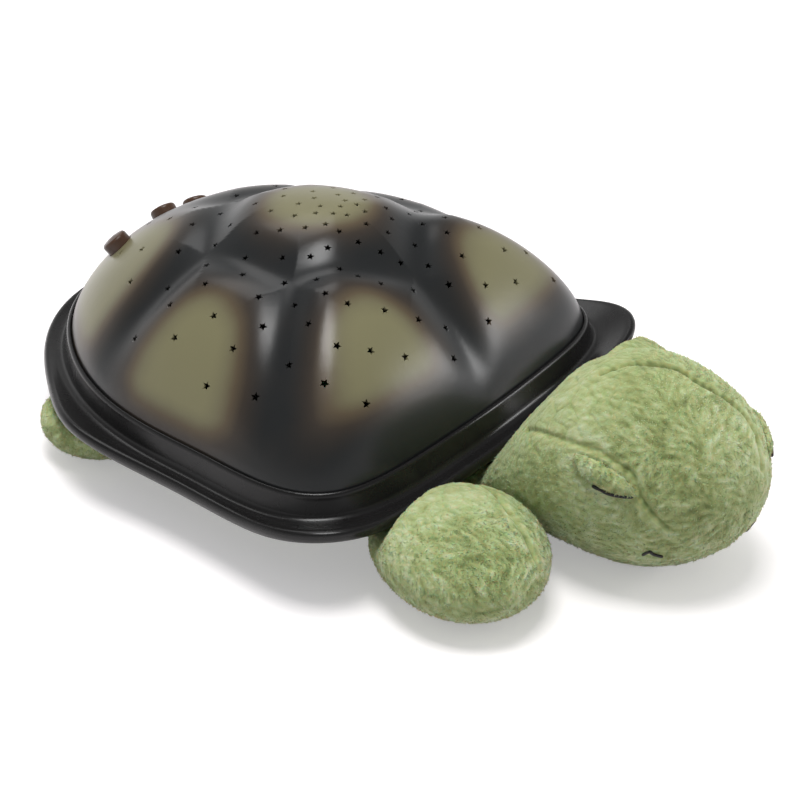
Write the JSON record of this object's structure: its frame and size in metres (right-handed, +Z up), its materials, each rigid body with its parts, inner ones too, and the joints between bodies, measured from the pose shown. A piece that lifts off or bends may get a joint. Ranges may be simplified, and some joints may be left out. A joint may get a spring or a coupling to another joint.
{
  "type": "star night light projector",
  "caption": "Bedside star projector: a domed moulded shell pierced with small stars over a dark flared rim, push buttons at the tail and a lift-off battery door, on a plush turtle.",
  "frame": {"origin": "on the ground under the middle of the toy's bounding box", "axes": "+Z up, the head looks along -Y, the tail points along +Y, the toy's right side is -X"},
  "size_m": [0.2296, 0.3449, 0.106],
  "materials": {
    "shell": "gloss",
    "rim": "gloss",
    "pan": "matte",
    "buttons": "gloss",
    "plush": "pile",
    "steel": "satin",
    "cell_sleeve": "gloss",
    "circuit_board": "satin",
    "blue_lens": "gloss",
    "green_lens": "gloss",
    "amber_lens": "gloss",
    "chip": "matte",
    "small_parts": "satin",
    "switch_body": "satin",
    "bracket": "matte"
  },
  "bodies": {
    "toy": {"dome_shell": "shell", "rim_skirt": "rim", "base_pan": "pan", "rim_screws": "steel", "battery_1": "cell_sleeve", "battery_2": "cell_sleeve", "battery_3": "cell_sleeve", "contact_springs": "steel", "contact_plates": "steel", "led_board": "circuit_board", "led_blue": "blue_lens", "led_green": "green_lens", "led_amber": "amber_lens", "controller_chip": "chip", "board_parts": "small_parts", "board_screws": "steel", "switch_bracket": "bracket", "bracket_screws": "steel", "button_board": "circuit_board", "power_switch": "switch_body", "blue_switch": "switch_body", "green_switch": "switch_body", "amber_switch": "switch_body", "plush_body": "plush", "plush_head": "plush", "front_right_foot": "plush", "front_left_foot": "plush", "rear_right_foot": "plush", "rear_left_foot": "plush", "plush_tail": "plush", "right_eyelid": "plush", "left_eyelid": "plush"},
    "power_press": {"power_button": "buttons"},
    "blue_press": {"blue_button": "buttons"},
    "green_press": {"green_button": "buttons"},
    "amber_press": {"amber_button": "buttons"},
    "battery_hatch": {"battery_door": "pan", "door_screw": "steel"}
  },
  "joints": [
    {"name": "power_button_travel", "type": "slide", "parent": "toy", "child": "power_press", "axis": [0.2918, -0.5727, -0.766], "range_m": [0, 0.0012], "stiffness_N_per_m": 900},
    {"name": "blue_button_travel", "type": "slide", "parent": "toy", "child": "blue_press", "axis": [-0.1227, -0.631, -0.766], "range_m": [0, 0.0012], "stiffness_N_per_m": 900},
    {"name": "green_button_travel", "type": "slide", "parent": "toy", "child": "green_press", "axis": [-0.3018, -0.5675, -0.766], "range_m": [0, 0.0012], "stiffness_N_per_m": 900},
    {"name": "amber_button_travel", "type": "slide", "parent": "toy", "child": "amber_press", "axis": [-0.4545, -0.4545, -0.766], "range_m": [0, 0.0012], "stiffness_N_per_m": 900},
    {"name": "battery_door_off", "type": "slide", "parent": "toy", "child": "battery_hatch", "axis": [0, 0, -1], "range_m": [0, 0.025]}
  ]
}
